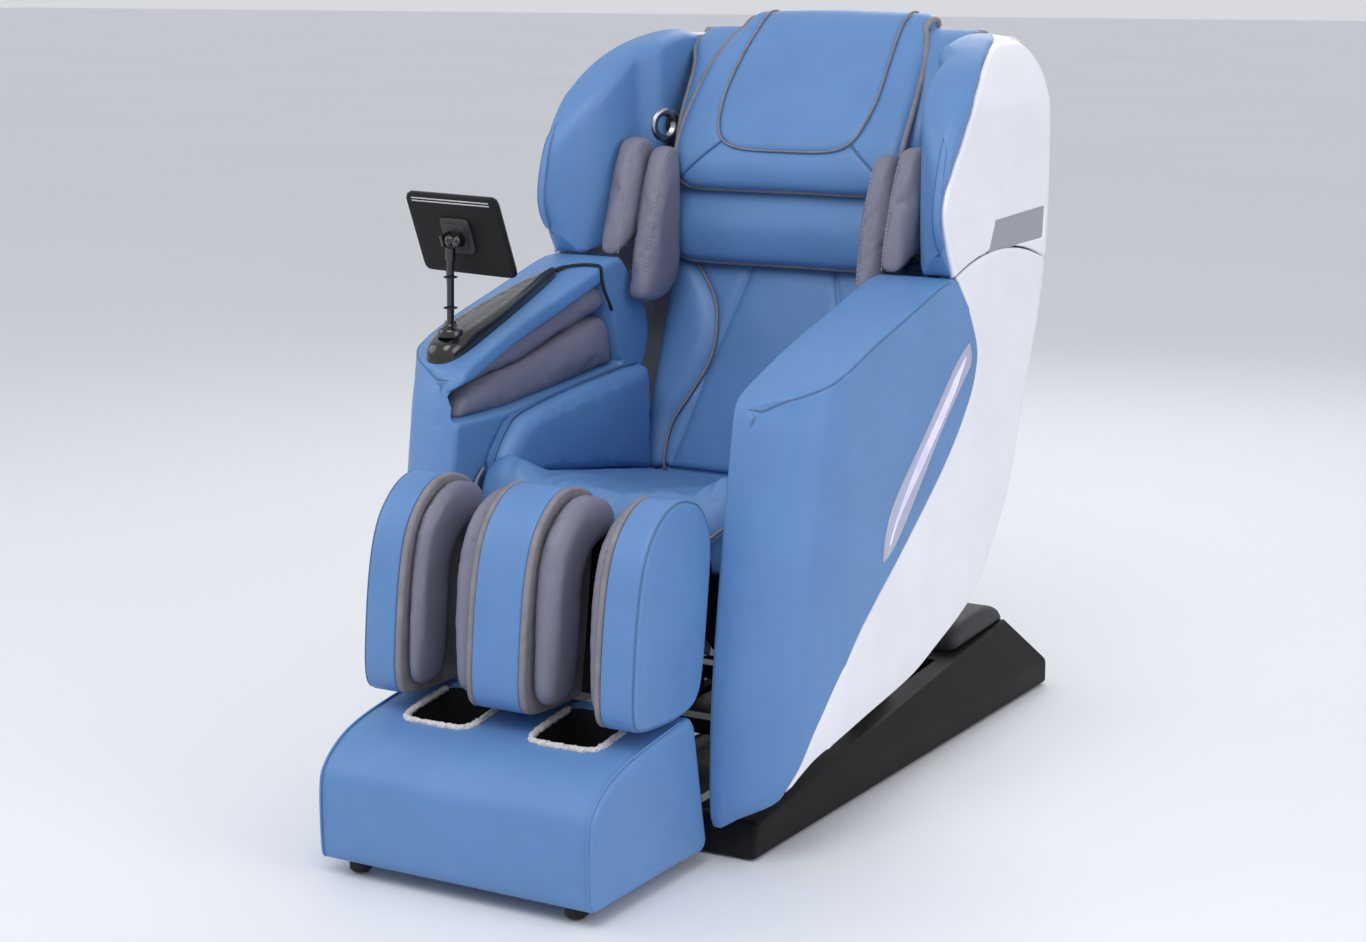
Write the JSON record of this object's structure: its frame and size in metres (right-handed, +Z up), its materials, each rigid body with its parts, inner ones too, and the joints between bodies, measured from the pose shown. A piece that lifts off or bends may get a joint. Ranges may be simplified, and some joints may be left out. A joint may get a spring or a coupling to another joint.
{
  "type": "massage chair",
  "caption": "Full-body reclining massage chair with a sliding base, calf and foot rest, armrest airbags, winged back and a tablet on the arm.",
  "frame": {"origin": "on the floor, under the middle of the whole chair", "axes": "+Z up, -Y the way the sitter faces, +X to the sitter's left"},
  "size_m": [0.7265, 1.4281, 1.1809],
  "materials": {
    "frame_steel": "satin black powder coat",
    "base_plastic": "fine textured black",
    "hood_plastic": "satin grey",
    "rubber": "matte black",
    "rail_steel": "ground",
    "cast_aluminium": "cast",
    "switch_plastic": "glossy red",
    "blue_leather": "soft grained synthetic leather",
    "grey_airbag": "soft grained synthetic leather",
    "white_shell": "high gloss",
    "lamp_lens": "translucent",
    "pump_plastic": "moulded",
    "lead_rubber": "matte",
    "speaker_trim": "satin chrome",
    "roller_plastic": "moulded",
    "screen_glass": "gloss"
  },
  "bodies": {
    "base": {"base_frame": "frame_steel", "base_crossbars": "frame_steel", "base_cover": "base_plastic", "base_hood": "hood_plastic", "base_feet": "rubber", "slide_rails": "rail_steel", "power_inlet": "base_plastic", "control_box": "cast_aluminium"},
    "wheels": {"transport_wheels": "rubber"},
    "rocker": {"power_switch": "switch_plastic"},
    "carriage": {"carriage_frame": "frame_steel"},
    "tilt_actuator": {"tilt_barrel": "cast_aluminium"},
    "tilt_rod": {"tilt_ram": "rail_steel"},
    "seat": {"seat_frame": "frame_steel", "seat_cushion": "blue_leather", "hip_pads": "blue_leather", "arm_left": "blue_leather", "arm_right": "blue_leather", "side_shell_left": "white_shell", "side_shell_right": "white_shell", "arm_airbags": "grey_airbag", "light_strips": "lamp_lens", "air_pump": "pump_plastic", "tablet_base": "base_plastic", "tablet_lead": "lead_rubber"},
    "recline_actuator": {"recline_barrel": "cast_aluminium"},
    "recline_rod": {"recline_ram": "rail_steel"},
    "back": {"back_frame": "frame_steel", "back_cushion": "blue_leather", "side_bolsters": "blue_leather", "neck_pad": "blue_leather", "head_pillow": "blue_leather", "wing_left": "blue_leather", "wing_right": "blue_leather", "upper_shell_left": "white_shell", "upper_shell_right": "white_shell", "rear_cover": "white_shell", "shell_vents": "hood_plastic", "shoulder_airbags": "grey_airbag", "speakers": "speaker_trim"},
    "massage": {"massage_chassis": "frame_steel"},
    "knead_left": {"knead_arm_left": "cast_aluminium"},
    "knead_right": {"knead_arm_right": "cast_aluminium"},
    "roller_left_upper": {"roller_left_upper": "roller_plastic"},
    "roller_left_lower": {"roller_left_lower": "roller_plastic"},
    "roller_right_upper": {"roller_right_upper": "roller_plastic"},
    "roller_right_lower": {"roller_right_lower": "roller_plastic"},
    "leg": {"leg_frame": "frame_steel", "calf_box_left": "blue_leather", "calf_box_centre": "blue_leather", "calf_box_right": "blue_leather", "calf_airbags": "grey_airbag"},
    "leg_actuator": {"leg_barrel": "cast_aluminium"},
    "leg_rod": {"leg_ram": "rail_steel"},
    "foot": {"foot_box": "blue_leather", "foot_glides": "rubber"},
    "foot_roller": {"foot_rollers": "roller_plastic"},
    "tablet_arm": {"tablet_pole": "base_plastic"},
    "tablet": {"tablet_case": "base_plastic", "tablet_screen": "screen_glass"}
  },
  "joints": [
    {"name": "carriage_slide", "type": "slide", "parent": "base", "child": "carriage", "axis": [0, -1, 0], "range_m": [0, 0.15]},
    {"name": "seat_tilt", "type": "hinge", "parent": "carriage", "child": "seat", "pos_m": [0, 0.15, 0.26], "axis": [-1, 0, 0], "range_deg": [0, 25]},
    {"name": "back_recline", "type": "hinge", "parent": "seat", "child": "back", "pos_m": [0, 0.285, 0.3], "axis": [-1, 0, 0], "range_deg": [0, 35]},
    {"name": "leg_lift", "type": "hinge", "parent": "seat", "child": "leg", "pos_m": [0, -0.378, 0.466], "axis": [-1, 0, 0], "range_deg": [0, 85]},
    {"name": "foot_extend", "type": "slide", "parent": "leg", "child": "foot", "axis": [0, -0.1392, -0.9903], "range_m": [0, 0.12]},
    {"name": "tilt_barrel_swing", "type": "hinge", "parent": "carriage", "child": "tilt_actuator", "pos_m": [-0.06, -0.06, 0.118], "axis": [-1, 0, 0], "range_deg": [0, 23.5]},
    {"name": "tilt_ram_slide", "type": "slide", "parent": "tilt_actuator", "child": "tilt_rod", "axis": [0, -0.6369, 0.771], "range_m": [0, 0.112]},
    {"name": "recline_barrel_swing", "type": "hinge", "parent": "seat", "child": "recline_actuator", "pos_m": [0, -0.11, 0.33], "axis": [-1, 0, 0], "range_deg": [-3.6, 0]},
    {"name": "recline_ram_slide", "type": "slide", "parent": "recline_actuator", "child": "recline_rod", "axis": [0, 0.9447, -0.328], "range_m": [-0.059, 0]},
    {"name": "leg_barrel_swing", "type": "hinge", "parent": "seat", "child": "leg_actuator", "pos_m": [0.06, -0.02, 0.236], "axis": [-1, 0, 0], "range_deg": [0, 9]},
    {"name": "leg_ram_slide", "type": "slide", "parent": "leg_actuator", "child": "leg_rod", "axis": [0, -0.9631, 0.269], "range_m": [0, 0.165]},
    {"name": "massage_travel", "type": "slide", "parent": "back", "child": "massage", "axis": [0, 0.2149, 0.9766], "range_m": [-0.09, 0.34]},
    {"name": "knead_left_rock", "type": "hinge", "parent": "massage", "child": "knead_left", "pos_m": [0.074, 0.34255, 0.62668], "axis": [-1, 0, 0], "range_deg": [-5, 5]},
    {"name": "knead_right_rock", "type": "hinge", "parent": "massage", "child": "knead_right", "pos_m": [-0.074, 0.34255, 0.62668], "axis": [-1, 0, 0], "range_deg": [-5, 5]},
    {"name": "roller_left_upper_spin", "type": "hinge", "parent": "knead_left", "child": "roller_left_upper", "pos_m": [0.091, 0.31161, 0.69083], "axis": [1, 0, 0], "continuous": true},
    {"name": "roller_left_lower_spin", "type": "hinge", "parent": "knead_left", "child": "roller_left_lower", "pos_m": [0.091, 0.28755, 0.58144], "axis": [1, 0, 0], "continuous": true},
    {"name": "roller_right_upper_spin", "type": "hinge", "parent": "knead_right", "child": "roller_right_upper", "pos_m": [-0.091, 0.31161, 0.69083], "axis": [1, 0, 0], "continuous": true},
    {"name": "roller_right_lower_spin", "type": "hinge", "parent": "knead_right", "child": "roller_right_lower", "pos_m": [-0.091, 0.28755, 0.58144], "axis": [1, 0, 0], "continuous": true},
    {"name": "foot_roller_spin", "type": "hinge", "parent": "foot", "child": "foot_roller", "pos_m": [0, -0.53, 0.056], "axis": [1, 0, 0], "continuous": true},
    {"name": "transport_wheel_spin", "type": "hinge", "parent": "base", "child": "wheels", "pos_m": [0, 0.622, 0.024], "axis": [1, 0, 0], "continuous": true},
    {"name": "power_rocker", "type": "hinge", "parent": "base", "child": "rocker", "pos_m": [0.035, 0.708, 0.027], "axis": [1, 0, 0], "range_deg": [-8, 8]},
    {"name": "tablet_swivel", "type": "hinge", "parent": "seat", "child": "tablet_arm", "pos_m": [-0.29, -0.286, 0.71], "axis": [0, 0, 1], "range_deg": [-60, 60]},
    {"name": "tablet_tilt", "type": "hinge", "parent": "tablet_arm", "child": "tablet", "pos_m": [-0.26852, -0.31227, 0.85451], "axis": [0.9781, -0.2079, 0], "range_deg": [-12, 30]}
  ],
  "couplings": [
    {"joint": "tilt_barrel_swing", "follows": "seat_tilt", "ratio": 0.9247},
    {"joint": "tilt_ram_slide", "follows": "seat_tilt", "m_per_rad": 0.25012},
    {"joint": "recline_barrel_swing", "follows": "back_recline", "ratio": -0.0981},
    {"joint": "recline_ram_slide", "follows": "back_recline", "m_per_rad": -0.09353},
    {"joint": "leg_barrel_swing", "follows": "leg_lift", "ratio": 0.1006},
    {"joint": "leg_ram_slide", "follows": "leg_lift", "m_per_rad": 0.1096},
    {"joint": "knead_right_rock", "follows": "knead_left_rock", "ratio": -1}
  ]
}
